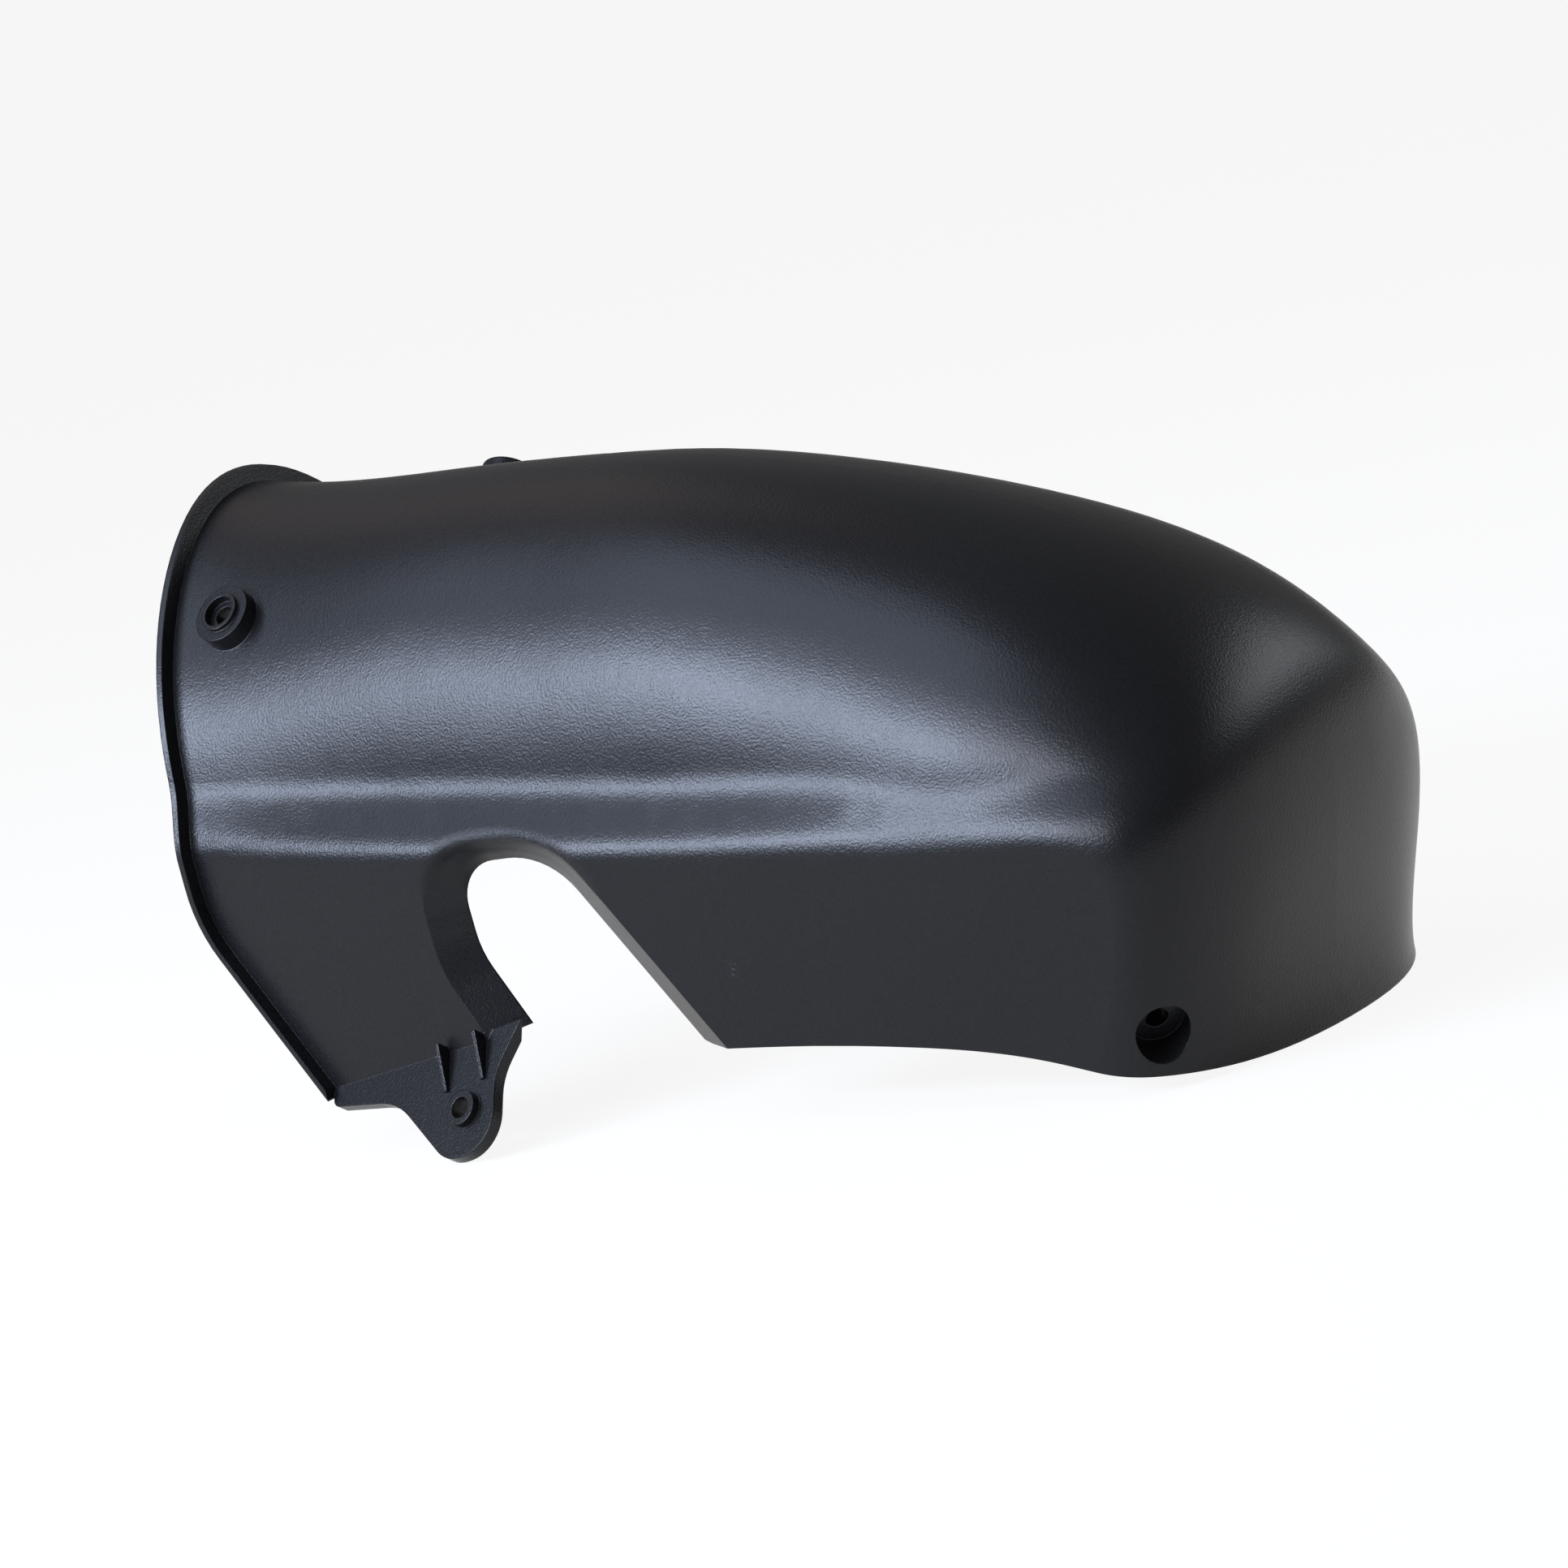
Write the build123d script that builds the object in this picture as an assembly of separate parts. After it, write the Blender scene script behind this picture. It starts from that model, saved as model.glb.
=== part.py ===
from build123d import *
import math
import os

# Frame while drawing: x forward, y to the left, z up, the tab ends near z = 0.
# All sizes in millimetres, angles in degrees.

# Moulded shell
WALL = 2.6
FAN_X = 20.0
FAN_Z = -68.0
STAND_TILT = 2.25
LEG_END = 30.0
CREASE_Z = 90.0
CREASE_FALL = 0.105
LEDGE = 25.0
NUDGE = 0.2
NOSE_DEPTH = 46.0
ARCH_STEPS = (0.0, 0.3, 0.65, 1.0)

# Upright sections of the rear half: place along x, crown height over the fan foot,
# half width of the side walls, inward step of the shoulder, squareness of the arch
REAR_SECTIONS = (
    (-230.0, 294.5, 90.0, 2.0, 1.8),
    (-190.0, 287.5, 91.0, 5.0, 1.85),
    (-150.0, 282.0, 92.5, 9.0, 1.95),
    (-100.0, 279.5, 94.0, 12.0, 2.1),
    (-40.0, 275.5, 95.0, 12.0, 2.1),
)

# Fanned sections of the front half: angle over the horizon, then as above
FRONT_SECTIONS = (
    (90.0, 266.5, 95.0, 11.0, 2.2),
    (70.0, 256.5, 94.0, 8.0, 2.2),
    (54.0, 256.3, 93.0, 5.0, 2.3),
    (42.0, 247.5, 91.0, 2.0, 2.15),
    (32.0, 212.5, 89.0, 0.0, 2.4),
    (22.0, 183.5, 87.0, 0.0, 2.4),
    (10.0, 147.0, 86.0, 0.0, 2.4),
)

# Side outline
LIP_X = -180.5
LIP_Z = 112.0
LIP_LEAN = 7.0
LIP_BEND_R = 150.0
KNEE_Z = 88.0
KNEE_R = 50.0
CORNER_X = -142.5
CORNER_Z = 24.0
SHELF_RISE = 0.186
FOOT_X = 10.0
FOOT_Z = 26.0
FOOT_FALL = 0.06
FLANK_X = 83.0
FLANK_Z = 19.2
BELLY_X = 138.0
BELLY_Z = 7.4
NOSE_FOOT_X = 164.0
NOSE_FOOT_Z = -1.2
NOSE_FALL = 0.28
REACH = 400.0

# Lip flange round the rear opening
LIP_HIGH = 5.5
LIP_THICK = 2.2

# Slot in each side wall with its inward rolled edge
SLOT = (
    (-30.0, -20.0, 0.0),
    (-74.3, 65.0, 30.0),
    (-75.3, 94.3, 14.0),
    (-38.6, 94.3, 30.0),
    (35.8, -20.0, 0.0),
)
SLOT_LEFT_X = -60.0
BAND_WIDE = 12.0
BAND_DEEP = 10.0

# Sloping shelf and fixing tab under each rear corner: outline on the shelf's own plane,
# first along its root, then down the slope, with the radius of each corner
SHELF_X = -100.0
SHELF_SLOPE = 55.0
SHELF_THICK = 4.5
SHELF = (
    (-43.0, -4.0, 0.0),
    (42.0, -4.0, 0.0),
    (30.5, 12.0, 20.0),
    (30.0, 37.5, 13.0),
    (9.5, 37.5, 13.0),
    (-13.5, 9.8, 25.0),
    (-43.0, 3.0, 3.0),
)
TAB_U = 18.0
TAB_V = 21.5
TAB_HOLE_R = 3.6
TAB_COLLAR_R = 6.0
TAB_COLLAR_HIGH = 3.0
TAB_RIB_U = (9.5, 25.9)
TAB_RIB_THICK = 1.6
TAB_RIB_HIGH = 6.0
TAB_RIB_LOW = 1.2
TAB_RIB_LONG = 13.0

# Round bosses on the shoulders
BOSS_R = 10.5
BOSS_HIGH = 7.0
BOSS_RING_R = 7.0
BOSS_RING_HIGH = 1.6
BOSS_SINK_R = 5.6
BOSS_SINK_DEEP = 3.2
BOSS_HOLE_R = 3.3
BOSS_TILT = 42.0
LEFT_BOSS = (-115.0, 41.0, 197.0)
RIGHT_BOSS = (-164.0, 57.5, 181.0)

# Screw recesses low on the nose
CUP_AT = (172.0, 78.0, 12.0)
CUP_AXIS = (0.55, 0.60, -0.55)
CUP_R = 9.0
CUP_DEEP = 5.0
CUP_HOLE_R = 3.6
CUP_SLEEVE = 8.0


def arch_point(angle, crown, crease, wide, power, grow):
    """Point, and direction towards the crown, of a squared arch moved outwards by grow."""
    spots = []
    for turn in (angle - NUDGE, angle, angle + NUDGE):
        c = max(math.cos(math.radians(turn)), 0.0) ** (2.0 / power)
        s = max(math.sin(math.radians(turn)), 0.0) ** (2.0 / power)
        spots.append(Vector(wide * c, crease + (crown - crease) * s))
    way = (spots[2] - spots[0]).normalized()
    if angle == 90.0:
        way = Vector(-1, 0)
    return spots[1] + Vector(way.Y, -way.X) * grow, way


def curve(dots, knots, first, last):
    """Spline with common knots that leaves and arrives in given directions."""
    start = first * ((dots[1] - dots[0]).length / (knots[1] - knots[0]))
    end = last * ((dots[-1] - dots[-2]).length / (knots[-1] - knots[-2]))
    return Edge.make_spline(dots, tangents=[start, end], parameters=knots, scale=False)


def section(plane, crown, crease, half, step, power, grow):
    """Closed face of the left half of the guard's space in one station plane."""
    low = math.degrees(math.asin((LEDGE / (crown - crease)) ** (power / 2.0)))
    spots = [arch_point(low + (90.0 - low) * t, crown, crease, half - step, power, grow) for t in ARCH_STEPS]
    dots = [at for at, _ in spots]
    foot = LEG_END - abs(grow)
    wide = half + grow
    corner = Vector(wide, crease)
    ledge = curve([corner, dots[0]], (0.0, 1.0), Vector(0, 1), spots[0][1])
    arch = curve(dots, ARCH_STEPS, spots[0][1], spots[-1][1])
    rest = Polyline((0, crown + grow), (0, foot), (wide, foot), (wide, crease))
    return plane * make_face([ledge, arch, *rest.edges()])


def body(grow):
    """Left half of the filled guard, its skin moved outwards by grow."""
    faces = []
    for x, crown, half, step, power in REAR_SECTIONS:
        crease = CREASE_Z - CREASE_FALL * x - FAN_Z
        plane = Plane((x, 0, FAN_Z), x_dir=(0, 1, 0), z_dir=(1, 0, 0))
        faces.append(section(plane, crown, crease, half, step, power, grow))
    for angle, crown, half, step, power in FRONT_SECTIONS:
        c = math.cos(math.radians(angle))
        s = math.sin(math.radians(angle))
        crease = (CREASE_Z - CREASE_FALL * FAN_X - FAN_Z) / (s + CREASE_FALL * c)
        crease = min(crease, crown - NOSE_DEPTH)
        plane = Plane((FAN_X, 0, FAN_Z), x_dir=(0, 1, 0), z_dir=(s, 0, -c))
        faces.append(section(plane, crown, crease, half, step, power, grow))
    return loft(faces)


def keep_space():
    """Side view of what remains of the lofted shell."""
    top_x = LIP_X - math.tan(math.radians(LIP_LEAN)) * (REACH - LIP_Z)
    shelf_end_z = CORNER_Z + SHELF_RISE * (SLOT_LEFT_X - CORNER_X)
    belly = Spline(
        (FOOT_X, FOOT_Z),
        (FLANK_X, FLANK_Z),
        (BELLY_X, BELLY_Z),
        (NOSE_FOOT_X, NOSE_FOOT_Z),
        tangents=((1.0, -FOOT_FALL), (1.0, -NOSE_FALL)),
    )
    rest = Polyline(
        (NOSE_FOOT_X, NOSE_FOOT_Z),
        (REACH, NOSE_FOOT_Z - NOSE_FALL * (REACH - NOSE_FOOT_X)),
        (REACH, REACH),
        (top_x, REACH),
        (LIP_X, LIP_Z),
        (LIP_X, KNEE_Z),
        (CORNER_X, CORNER_Z),
        (SLOT_LEFT_X, shelf_end_z),
        (FOOT_X, FOOT_Z),
    )
    face = make_face([*belly.edges(), *rest.edges()])
    bend = face.vertices().sort_by_distance((LIP_X, LIP_Z, 0))[0]
    face = fillet(bend, LIP_BEND_R)
    knee = face.vertices().sort_by_distance((LIP_X, KNEE_Z, 0))[0]
    face = fillet(knee, KNEE_R)
    return extrude(Plane.XZ * face, REACH, both=True)


def lip(high, inner, keep):
    """Flange standing out round the rear opening and down both rear legs."""
    strip = keep - Pos(LIP_THICK, 0, 0) * keep
    rear = Pos(LIP_X, 0, REACH / 2 + CORNER_Z) * Box(2 * (CORNER_X - LIP_X), 2 * REACH, REACH)
    return (high & strip & rear) - inner


def rounded(corners, grow):
    """Edges of a polygon of (x, y, radius) corners; a clockwise one is widened by grow."""
    count = len(corners)
    sides = []
    for i in range(count):
        p = Vector(corners[i][0], corners[i][1])
        q = Vector(corners[(i + 1) % count][0], corners[(i + 1) % count][1])
        way = (q - p).normalized()
        sides.append((p + Vector(-way.Y, way.X) * grow, way))
    ends = []
    for i in range(count):
        p, v = sides[i - 1]
        q, w = sides[i]
        cross = v.X * w.Y - v.Y * w.X
        at = p + v * (((q.X - p.X) * w.Y - (q.Y - p.Y) * w.X) / cross)
        radius = corners[i][2] + grow if corners[i][2] else 0.0
        cut = radius * math.tan(math.radians(v.get_angle(w)) / 2)
        to_centre = (w - v).normalized() * (math.hypot(cut, radius) - radius)
        ends.append((at - v * cut, at + to_centre, at + w * cut, radius))
    edges = []
    for i in range(count):
        first, middle, last, radius = ends[i]
        if radius:
            edges.append(ThreePointArc(first, middle, last).edge())
        edges.append(Line(last, ends[(i + 1) % count][0]).edge())
    return edges


def slot_plug(grow):
    """Tapered plug of the left slot, wide at the outer skin and narrow inside."""
    wide = max(half for _, _, half, _, _ in FRONT_SECTIONS)
    spread = BAND_WIDE * (BAND_DEEP + WALL) / BAND_DEEP
    outside = Plane((0, wide + WALL, 0), x_dir=(1, 0, 0), z_dir=(0, -1, 0))
    inside = Plane((0, wide - BAND_DEEP, 0), x_dir=(1, 0, 0), z_dir=(0, -1, 0))
    large = make_face(rounded(SLOT, spread + grow))
    small = make_face(rounded(SLOT, grow))
    return loft([outside * large, inside * small], ruled=True)


def disc(at, axis, radius, low, high):
    """Cylinder along an axis through a point, from low to high."""
    return Plane(at, z_dir=axis) * Pos(0, 0, (low + high) / 2) * Cylinder(radius, high - low)


def shelf_plane():
    """Plane of the left shelf: first axis forward along its root, second one down the slope."""
    root_z = CORNER_Z + SHELF_RISE * (SHELF_X - CORNER_X)
    half = REAR_SECTIONS[-1][2]
    along = Vector(1, 0, SHELF_RISE).normalized()
    slope = math.radians(SHELF_SLOPE)
    down = Vector(0, math.cos(slope), -math.sin(slope))
    return Plane((SHELF_X, half, root_z), x_dir=along, z_dir=along.cross(down))


def shelf(plane, inner):
    """Sloping shelf below the rear corner, widening into the fixing tab with collar and ribs."""
    outline = make_face(rounded(SHELF, 0.0))
    plate = extrude(plane * outline, SHELF_THICK, dir=-plane.z_dir)
    tab = Vector(TAB_U, TAB_V)
    solid = plate + plane * Pos(tab.X, tab.Y, TAB_COLLAR_HIGH / 2) * Cylinder(TAB_COLLAR_R, TAB_COLLAR_HIGH)
    wedge = make_face(
        Polyline(
            (-WALL, 0.0),
            (-WALL, TAB_RIB_HIGH),
            (TAB_RIB_LONG, TAB_RIB_LOW),
            (TAB_RIB_LONG, 0.0),
            close=True,
        )
    )
    for u in TAB_RIB_U:
        upright = Plane((u, 0, 0), x_dir=(0, 1, 0), z_dir=(1, 0, 0))
        solid = solid + plane * extrude(upright * wedge, TAB_RIB_THICK / 2, both=True)
    hole = plane * Pos(tab.X, tab.Y, 0) * Cylinder(TAB_HOLE_R, 4 * SHELF_THICK)
    return solid - inner - hole


def boss(at, inner):
    """Round boss with a raised ring, a sunk seat and a through hole: material and cut."""
    tilt = math.radians(BOSS_TILT)
    axis = (0.0, math.cos(tilt), math.sin(tilt))
    ring_high = BOSS_HIGH + BOSS_RING_HIGH
    solid = disc(at, axis, BOSS_R, -BOSS_R, BOSS_HIGH) + disc(at, axis, BOSS_RING_R, 0.0, ring_high)
    cut = disc(at, axis, BOSS_SINK_R, ring_high - BOSS_SINK_DEEP, ring_high + WALL)
    cut = cut + disc(at, axis, BOSS_HOLE_R, -2 * BOSS_R, ring_high)
    return solid - inner, cut


def left_half():
    """Shell, lip, slot, shelf and screw recess of the left side."""
    outer = body(0.0)
    inner = body(-WALL)
    keep = keep_space()
    half = ((outer - inner) & keep) + lip(body(LIP_HIGH), inner, keep)
    half = half + (slot_plug(WALL) & keep & outer)
    half = half - slot_plug(0.0)
    half = half + shelf(shelf_plane(), inner)
    cup = disc(CUP_AT, CUP_AXIS, CUP_R + WALL, -CUP_DEEP - WALL, CUP_R)
    cup = cup + disc(CUP_AT, CUP_AXIS, CUP_HOLE_R + WALL, -CUP_DEEP - CUP_SLEEVE, 0.0)
    half = half + (cup & outer & keep)
    half = half - disc(CUP_AT, CUP_AXIS, CUP_R, -CUP_DEEP, 2 * CUP_R)
    half = half - disc(CUP_AT, CUP_AXIS, CUP_HOLE_R, -2 * CUP_R, 0.0)
    return half, inner


def whole():
    """Both halves, each with its own boss, as one moulding."""
    half, inner = left_half()
    left_boss, left_cut = boss(LEFT_BOSS, inner)
    right_boss, right_cut = boss(RIGHT_BOSS, inner)
    left = half + left_boss - left_cut
    right = mirror(half + right_boss - right_cut, about=Plane.XZ)
    return left + right


def main():
    guard = Rot(0, -STAND_TILT, 0) * whole()
    box = guard.bounding_box()
    guard = Pos(-box.center().X, -box.center().Y, -box.min.Z) * guard
    os.makedirs("parts", exist_ok=True)
    export_step(guard, "parts/mudguard.step")


main()
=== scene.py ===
import math

import bmesh
import bpy
from mathutils import Matrix, Vector


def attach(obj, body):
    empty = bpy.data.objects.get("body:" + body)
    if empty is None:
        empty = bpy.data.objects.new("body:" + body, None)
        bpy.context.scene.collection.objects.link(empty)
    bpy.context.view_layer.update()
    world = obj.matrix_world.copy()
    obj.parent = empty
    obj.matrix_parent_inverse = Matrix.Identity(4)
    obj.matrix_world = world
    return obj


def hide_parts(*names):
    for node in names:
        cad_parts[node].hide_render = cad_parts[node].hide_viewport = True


bl_info = {
    "name": "Front mudguard",
    "version": (1, 0, 0),
    "blender": (4, 5, 0),
    "location": "3D View > Sidebar > Mudguard",
    "description": "Dresses the moulded front mudguard and sets its studio",
    "category": "Object",
}

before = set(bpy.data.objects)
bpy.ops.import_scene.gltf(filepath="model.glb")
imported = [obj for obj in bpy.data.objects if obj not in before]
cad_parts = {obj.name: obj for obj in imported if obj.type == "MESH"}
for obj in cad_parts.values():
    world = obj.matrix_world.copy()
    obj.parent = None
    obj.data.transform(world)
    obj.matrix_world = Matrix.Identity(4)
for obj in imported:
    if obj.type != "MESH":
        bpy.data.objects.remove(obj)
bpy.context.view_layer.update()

WHITE = (1.0, 1.0, 1.0)
FULL_RANGE = (0.0, 1.0)

# Corners of the CAD mesh nearer than this are one vertex, in metres
MERGE_GAP = 1e-6

# Scuffs: place on the guard and reach, in metres, and the specks in them
SCUFFS = (
    ((0.0282, -0.0948, 0.0529), 0.0032),
    ((0.1869, -0.0431, 0.0147), 0.004),
    ((-0.1767, -0.0899, 0.1103), 0.0025),
    ((-0.0472, -0.0127, 0.2058), 0.002),
)
SPECK_SIZE = 0.0007
SPECK_DETAIL = 1.0
SPECK_RANGE = (0.6, 0.68)

# Etched grain, with painted shade darkening the pits of its bump, and wide clouds in the dullness of
# the skin
GRAIN_DETAIL = 3.0
PIT_RANGE = (0.3, 0.7)
PAINTED_PIT_SHADE = 0.6
CLOUD_SIZE = 0.03
CLOUD_DETAIL = 2.0
CLOUD_RANGE = (0.35, 0.65)
ROUGH_SWING = 0.008

# Rounding of the edges in the shading, in metres, and its rays
EDGE_ROUND = 0.0006
EDGE_SAMPLES = 8

# Wider rounding along the ledge: its height over the origin, its slope along x, how far the rounding
# reaches up and down, and where along x it ends before the lip
LEDGE_ROUND = 0.0065
LEDGE_Z = 0.1045
LEDGE_SLOPE = -0.066
LEDGE_REACH = 0.019
LEDGE_FADE = 0.027
LIP_CLEAR = -0.158
LIP_FADE = -0.170

# Lamps: name, azimuth and elevation in degrees, width and height in metres, colour
LAMPS = (
    ("key", -121.0, 23.5, 0.78, 0.28, (0.68, 0.78, 1.0)),
    ("front", -93.0, 28.0, 0.55, 0.20, (0.82, 0.86, 1.0)),
    ("upper", -130.0, 55.0, 1.1, 0.9, (0.68, 0.78, 1.0)),
    ("warm", 150.0, 50.0, 0.7, 0.7, (1.0, 0.78, 0.68)),
    ("back", 50.0, 24.0, 1.0, 0.5, (0.9, 0.94, 1.0)),
)
LAMP_AIM = (0.0, 0.0, 0.12)
LAMP_DISTANCE = 1.6
FLOOR_HALF_SIDE = 40.0

# Camera: side, focal length and shift of the photograph in its pixels, and the point aimed at in metres
PHOTO_SIDE = 1932.0
PHOTO_FOCAL = 9000.0
PHOTO_SHIFT = (-4.0, -6.0)
CAMERA_AIM = (-0.003574, 0.0, 0.093246)
SENSOR_WIDTH = 36.0
VIEW_END = 200.0


class MouldingFinish(bpy.types.PropertyGroup):
    """Grained black plastic of the moulding"""

    colour: bpy.props.FloatVectorProperty(
        name="Colour",
        description="Pigment of the plastic",
        default=(0.009, 0.009, 0.010),
        size=3,
        subtype="COLOR",
        min=0.0,
        max=1.0,
    )
    roughness: bpy.props.FloatProperty(
        name="Roughness",
        description="How dull the skin is",
        default=0.30,
        min=0.0,
        max=1.0,
        subtype="FACTOR",
    )
    gloss: bpy.props.FloatProperty(
        name="Gloss",
        description="Strength of the skin's reflection",
        default=0.25,
        min=0.0,
        max=1.0,
        subtype="FACTOR",
    )
    scuff_colour: bpy.props.FloatVectorProperty(
        name="Scuff colour",
        description="Pale colour of the scuffed specks",
        default=(0.07, 0.07, 0.075),
        size=3,
        subtype="COLOR",
        min=0.0,
        max=1.0,
    )
    grain_size: bpy.props.FloatProperty(
        name="Grain size",
        description="Width of one grain of the etched skin",
        default=0.0008,
        min=0.0002,
        max=0.01,
        unit="LENGTH",
    )
    grain_depth: bpy.props.FloatProperty(
        name="Grain depth",
        description="Depth of the etched skin",
        default=0.00013,
        min=0.0,
        max=0.001,
        unit="LENGTH",
    )


class StudioSettings(bpy.types.PropertyGroup):
    """Floor, lamps and camera"""

    floor_colour: bpy.props.FloatVectorProperty(
        name="Floor colour",
        description="Colour of the pale floor",
        default=(0.92, 0.92, 0.92),
        size=3,
        subtype="COLOR",
        min=0.0,
        max=1.0,
    )
    whiteness: bpy.props.FloatProperty(
        name="Whiteness",
        description="Share of plain white in the floor as the camera and mirrors see it",
        default=0.9,
        min=0.0,
        max=1.0,
        subtype="FACTOR",
    )
    key_power: bpy.props.FloatProperty(
        name="Key lamp",
        description="Power of the long low lamp before the near side",
        default=36.0,
        min=0.0,
        unit="POWER",
    )
    front_power: bpy.props.FloatProperty(
        name="Front lamp",
        description="Power of the low lamp that carries the highlight on towards the nose",
        default=10.0,
        min=0.0,
        unit="POWER",
    )
    upper_power: bpy.props.FloatProperty(
        name="Upper lamp",
        description="Power of the wide soft lamp over the key lamp",
        default=11.0,
        min=0.0,
        unit="POWER",
    )
    warm_power: bpy.props.FloatProperty(
        name="Warm lamp",
        description="Power of the weak warm lamp behind the flanged end",
        default=0.7,
        min=0.0,
        unit="POWER",
    )
    back_power: bpy.props.FloatProperty(
        name="Back lamp",
        description="Power of the low soft lamp on the far side",
        default=5.0,
        min=0.0,
        unit="POWER",
    )
    sky: bpy.props.FloatProperty(
        name="Sky",
        description="Strength of the even light from all round",
        default=0.2,
        min=0.0,
    )
    distance: bpy.props.FloatProperty(
        name="Camera distance",
        description="From the middle of the guard to the camera",
        default=2.4,
        min=0.1,
        unit="LENGTH",
    )
    azimuth: bpy.props.FloatProperty(
        name="Camera azimuth",
        description="Turn of the camera from the right side towards the nose",
        default=math.radians(36.0),
        subtype="ANGLE",
    )
    elevation: bpy.props.FloatProperty(
        name="Camera elevation",
        description="Height of the camera over the guard's own level",
        default=math.radians(8.1),
        subtype="ANGLE",
    )
    roll: bpy.props.FloatProperty(
        name="Camera roll",
        description="Turn of the camera about its line of sight",
        default=math.radians(14.0),
        subtype="ANGLE",
    )
    stand_tilt: bpy.props.FloatProperty(
        name="Stand tilt",
        description="Turn of the guard's own level when it stands on tabs and nose",
        default=math.radians(2.25),
        subtype="ANGLE",
    )


def link(obj):
    """Put an object in the scene."""
    bpy.context.scene.collection.objects.link(obj)
    return obj


def opaque(colour):
    """Colour with full cover, as a colour socket takes it."""
    return (*colour, 1.0)


def feed(tree, socket, value):
    """Link another node's output to a socket, or set a plain value on it."""
    if isinstance(value, bpy.types.NodeSocket):
        tree.links.new(value, socket)
    else:
        socket.default_value = value


def calculate(tree, operation, *values):
    """Result of one step of arithmetic on outputs and plain numbers."""
    node = tree.nodes.new("ShaderNodeMath")
    node.operation = operation
    for socket, value in zip(node.inputs, values):
        feed(tree, socket, value)
    return node.outputs["Value"]


def span(tree, value, source, target):
    """Value spread from one range over another and held inside it."""
    node = tree.nodes.new("ShaderNodeMapRange")
    node.inputs["From Min"].default_value = source[0]
    node.inputs["From Max"].default_value = source[1]
    node.inputs["To Min"].default_value = target[0]
    node.inputs["To Max"].default_value = target[1]
    feed(tree, node.inputs["Value"], value)
    return node.outputs["Result"]


def noise(tree, place, size, detail):
    """Noise on the guard's own coordinates, with lumps of about the given size."""
    node = tree.nodes.new("ShaderNodeTexNoise")
    node.inputs["Scale"].default_value = 1.0 / size
    node.inputs["Detail"].default_value = detail
    feed(tree, node.inputs["Vector"], place)
    return node.outputs["Fac"]


def blend(tree, share, first, second):
    """Colour that goes from the first to the second with the share."""
    node = tree.nodes.new("ShaderNodeMix")
    node.data_type = "RGBA"
    feed(tree, node.inputs["Factor"], share)
    feed(tree, node.inputs["A"], first)
    feed(tree, node.inputs["B"], second)
    return node.outputs["Result"]


def worn_share(tree, place):
    """Small pale specks where the skin is scuffed."""
    worn = 0.0
    for spot, reach in SCUFFS:
        gap = tree.nodes.new("ShaderNodeVectorMath")
        gap.operation = "DISTANCE"
        feed(tree, gap.inputs[0], place)
        feed(tree, gap.inputs[1], spot)
        near = span(tree, gap.outputs["Value"], (reach, 0.0), FULL_RANGE)
        worn = calculate(tree, "MAXIMUM", worn, near)
    specks = span(tree, noise(tree, place, SPECK_SIZE, SPECK_DETAIL), SPECK_RANGE, FULL_RANGE)
    return calculate(tree, "MULTIPLY", worn, specks)


def rounding(tree, place):
    """Radius of the edges: small all over, wide along the ledge."""
    split = tree.nodes.new("ShaderNodeSeparateXYZ")
    feed(tree, split.inputs["Vector"], place)
    along = split.outputs["X"]
    drop = calculate(tree, "MULTIPLY_ADD", along, -LEDGE_SLOPE, -LEDGE_Z)
    over = calculate(tree, "ADD", split.outputs["Z"], drop)
    away = calculate(tree, "ABSOLUTE", over)
    beside = span(tree, away, (LEDGE_FADE, LEDGE_REACH), FULL_RANGE)
    ahead = span(tree, along, (LIP_FADE, LIP_CLEAR), FULL_RANGE)
    share = calculate(tree, "MULTIPLY", beside, ahead)
    return span(tree, share, FULL_RANGE, (EDGE_ROUND, LEDGE_ROUND))


def grained_plastic(finish):
    """Black plastic with the fine etched skin of a moulding tool, painted shade in the pits of its
    grain, and a few scuffs.
    """
    material = bpy.data.materials.new("grained black plastic")
    material.use_nodes = True
    tree = material.node_tree
    shader = tree.nodes["Principled BSDF"].inputs
    place = tree.nodes.new("ShaderNodeTexCoord").outputs["Object"]
    grain = noise(tree, place, finish.grain_size, GRAIN_DETAIL)
    cloud = noise(tree, place, CLOUD_SIZE, CLOUD_DETAIL)

    # Painted shade: the low points of the grain's bump get a darker colour, as if shade fell in them
    painted_pit_shade_share = span(tree, grain, PIT_RANGE, FULL_RANGE)
    painted_pit_shade_colour = [share * PAINTED_PIT_SHADE for share in finish.colour]
    skin = blend(tree, painted_pit_shade_share, opaque(painted_pit_shade_colour), opaque(finish.colour))
    scuffed = blend(tree, worn_share(tree, place), skin, opaque(finish.scuff_colour))
    feed(tree, shader["Base Color"], scuffed)

    swing = (finish.roughness - ROUGH_SWING, finish.roughness + ROUGH_SWING)
    feed(tree, shader["Roughness"], span(tree, cloud, CLOUD_RANGE, swing))
    feed(tree, shader["Specular IOR Level"], finish.gloss)

    edge = tree.nodes.new("ShaderNodeBevel")
    edge.samples = EDGE_SAMPLES
    feed(tree, edge.inputs["Radius"], rounding(tree, place))
    bump = tree.nodes.new("ShaderNodeBump")
    feed(tree, bump.inputs["Normal"], edge.outputs["Normal"])
    feed(tree, bump.inputs["Strength"], 1.0)
    feed(tree, bump.inputs["Distance"], finish.grain_depth)
    feed(tree, bump.inputs["Height"], grain)
    feed(tree, shader["Normal"], bump.outputs["Normal"])
    return material


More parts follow.
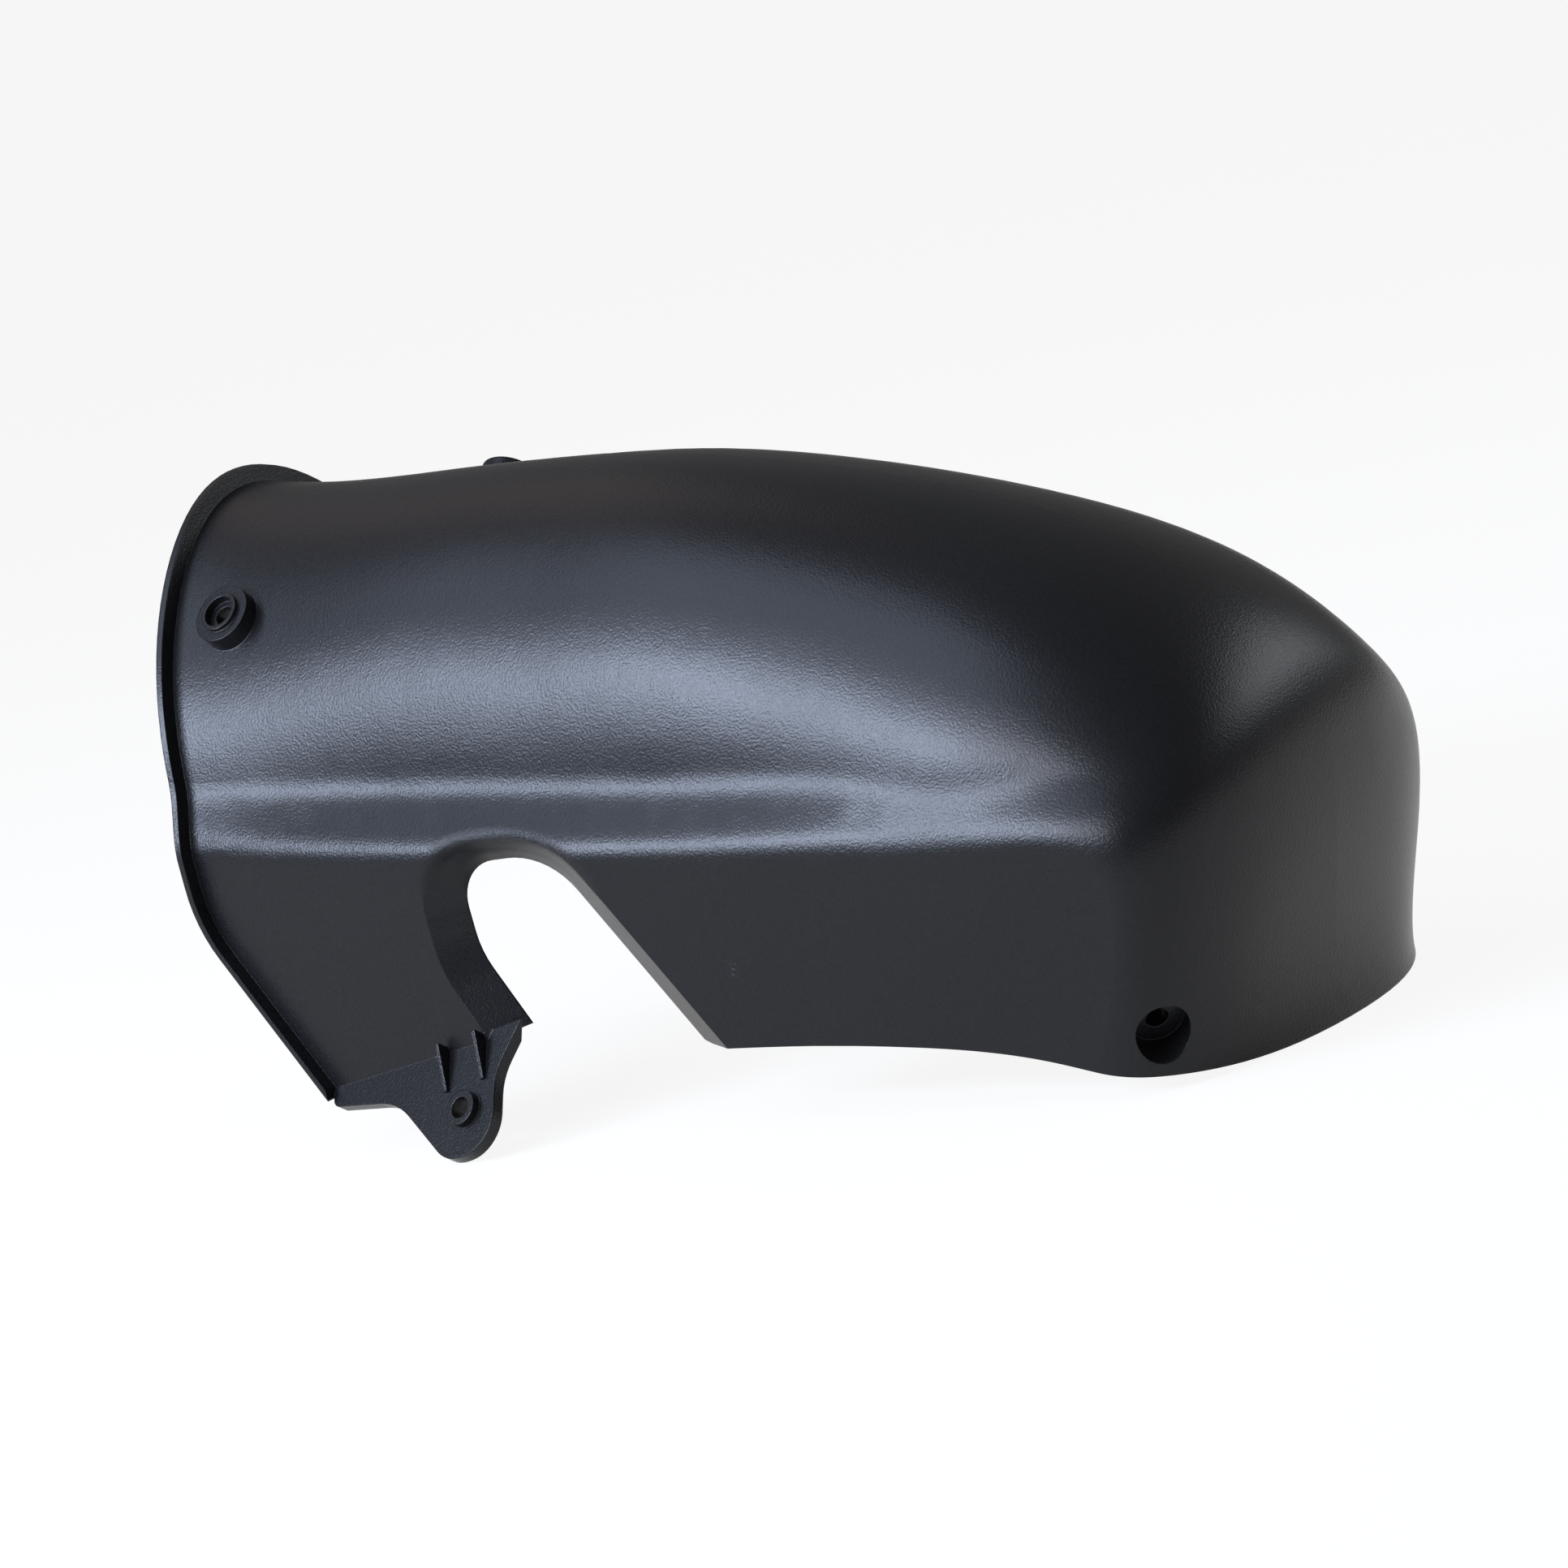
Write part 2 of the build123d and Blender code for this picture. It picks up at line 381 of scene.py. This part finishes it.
def smooth_copy(node, name):
    """Merged copy of a CAD node that keeps the normals of the CAD faces."""
    mesh = bpy.data.meshes.new(name)
    bm = bmesh.new()
    bm.from_mesh(node.data)
    kept = bm.loops.layers.float_vector.new("cad_normal")
    given = node.data.corner_normals
    for face in bm.faces:
        face.smooth = True
        face.material_index = 0
        for corner, place in zip(face.loops, node.data.polygons[face.index].loop_indices):
            corner[kept] = given[place].vector
    bmesh.ops.remove_doubles(bm, verts=bm.verts, dist=MERGE_GAP)
    normals = [corner[kept].copy() for face in bm.faces for corner in face.loops]
    bm.loops.layers.float_vector.remove(kept)
    bm.to_mesh(mesh)
    bm.free()
    mesh.normals_split_custom_set(normals)
    return link(bpy.data.objects.new(name, mesh))


class MUDGUARD_OT_moulding(bpy.types.Operator):
    """Make the smooth moulding and give it its grained skin"""

    bl_idname = "mudguard.moulding"
    bl_label = "Moulding"

    def execute(self, context):
        finish = context.scene.moulding_finish
        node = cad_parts["mudguard"]
        guard = smooth_copy(node, "moulding")
        guard.data.materials.append(grained_plastic(finish))
        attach(guard, "root")
        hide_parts("mudguard")
        return {"FINISHED"}


def pale_floor(studio):
    """Matt floor that looks white to the camera and in reflections but keeps the shadow."""
    material = bpy.data.materials.new("pale floor")
    material.use_nodes = True
    tree = material.node_tree
    tree.nodes.clear()
    matt = tree.nodes.new("ShaderNodeBsdfDiffuse")
    feed(tree, matt.inputs["Color"], opaque(studio.floor_colour))
    white = tree.nodes.new("ShaderNodeEmission")
    feed(tree, white.inputs["Color"], opaque(WHITE))
    feed(tree, white.inputs["Strength"], 1.0)
    rays = tree.nodes.new("ShaderNodeLightPath").outputs
    mirrored = calculate(tree, "MAXIMUM", rays["Is Glossy Ray"], rays["Is Transmission Ray"])
    seen = calculate(tree, "MAXIMUM", rays["Is Camera Ray"], mirrored)
    mix = tree.nodes.new("ShaderNodeMixShader")
    feed(tree, mix.inputs["Fac"], calculate(tree, "MULTIPLY", seen, studio.whiteness))
    feed(tree, mix.inputs[1], matt.outputs["BSDF"])
    feed(tree, mix.inputs[2], white.outputs["Emission"])
    out = tree.nodes.new("ShaderNodeOutputMaterial")
    feed(tree, out.inputs["Surface"], mix.outputs["Shader"])
    return material


def lay_floor(studio):
    """Wide flat floor under the guard."""
    mesh = bpy.data.meshes.new("floor")
    bm = bmesh.new()
    bmesh.ops.create_grid(bm, x_segments=1, y_segments=1, size=FLOOR_HALF_SIDE)
    bm.to_mesh(mesh)
    bm.free()
    mesh.materials.append(pale_floor(studio))
    link(bpy.data.objects.new("floor", mesh))


def soft_lamp(name, power, azimuth, elevation, width, height, colour):
    """Rectangular soft lamp in a direction from the guard, facing its middle."""
    data = bpy.data.lights.new(name, "AREA")
    data.shape = "RECTANGLE"
    data.size = width
    data.size_y = height
    data.color = colour
    data.energy = power
    lamp = link(bpy.data.objects.new(name, data))
    around = math.radians(azimuth)
    above = math.radians(elevation)
    level = math.cos(above)
    way = Vector((math.cos(around) * level, math.sin(around) * level, math.sin(above)))
    turn = (-way).to_track_quat("-Z", "Y").to_matrix().to_4x4()
    lamp.matrix_world = Matrix.Translation(Vector(LAMP_AIM) + way * LAMP_DISTANCE) @ turn


def set_sky(scene, strength):
    """Even white light from all round, with colours shown as they are written."""
    world = bpy.data.worlds.new("studio")
    world.use_nodes = True
    sky = world.node_tree.nodes["Background"]
    sky.inputs["Color"].default_value = opaque(WHITE)
    sky.inputs["Strength"].default_value = strength
    scene.world = world
    scene.view_settings.view_transform = "Standard"


def aim_camera(scene, studio):
    """Camera where the photograph was taken from, set by the guard's own level."""
    data = bpy.data.cameras.new("camera")
    data.sensor_width = SENSOR_WIDTH
    data.lens = SENSOR_WIDTH * PHOTO_FOCAL / PHOTO_SIDE
    data.shift_x = PHOTO_SHIFT[0] / PHOTO_SIDE
    data.shift_y = PHOTO_SHIFT[1] / PHOTO_SIDE
    data.clip_end = VIEW_END
    camera = link(bpy.data.objects.new("camera", data))
    stand = Matrix.Rotation(-studio.stand_tilt, 3, "Y")
    around = Matrix.Rotation(studio.azimuth, 3, "Z")
    down = Matrix.Rotation(math.pi / 2.0 - studio.elevation, 3, "X")
    roll = Matrix.Rotation(-studio.roll, 3, "Z")
    turn = stand @ around @ down @ roll
    spot = Vector(CAMERA_AIM) + turn.col[2] * studio.distance
    camera.matrix_world = Matrix.Translation(spot) @ turn.to_4x4()
    scene.camera = camera


class MUDGUARD_OT_studio(bpy.types.Operator):
    """Set the floor, the lamps, the sky and the camera"""

    bl_idname = "mudguard.studio"
    bl_label = "Studio"

    def execute(self, context):
        studio = context.scene.studio_settings
        lay_floor(studio)
        for name, *lamp in LAMPS:
            soft_lamp(name, getattr(studio, name + "_power"), *lamp)
        set_sky(context.scene, studio.sky)
        aim_camera(context.scene, studio)
        return {"FINISHED"}


class MUDGUARD_PT_panel(bpy.types.Panel):
    """Lists the steps and their settings"""

    bl_idname = "MUDGUARD_PT_panel"
    bl_label = "Mudguard"
    bl_space_type = "VIEW_3D"
    bl_region_type = "UI"
    bl_category = "Mudguard"

    def draw(self, context):
        scene = context.scene
        steps = (
            (scene.moulding_finish, "mudguard.moulding"),
            (scene.studio_settings, "mudguard.studio"),
        )
        for settings, step in steps:
            for name in settings.__annotations__:
                self.layout.prop(settings, name)
            self.layout.operator(step)


CLASSES = (
    MouldingFinish,
    StudioSettings,
    MUDGUARD_OT_moulding,
    MUDGUARD_OT_studio,
    MUDGUARD_PT_panel,
)


def register():
    for cls in CLASSES:
        bpy.utils.register_class(cls)
    bpy.types.Scene.moulding_finish = bpy.props.PointerProperty(type=MouldingFinish)
    bpy.types.Scene.studio_settings = bpy.props.PointerProperty(type=StudioSettings)


def unregister():
    del bpy.types.Scene.studio_settings
    del bpy.types.Scene.moulding_finish
    for cls in reversed(CLASSES):
        bpy.utils.unregister_class(cls)


def main():
    register()
    bpy.ops.mudguard.moulding()
    bpy.ops.mudguard.studio()


if __name__ == "__main__":
    main()
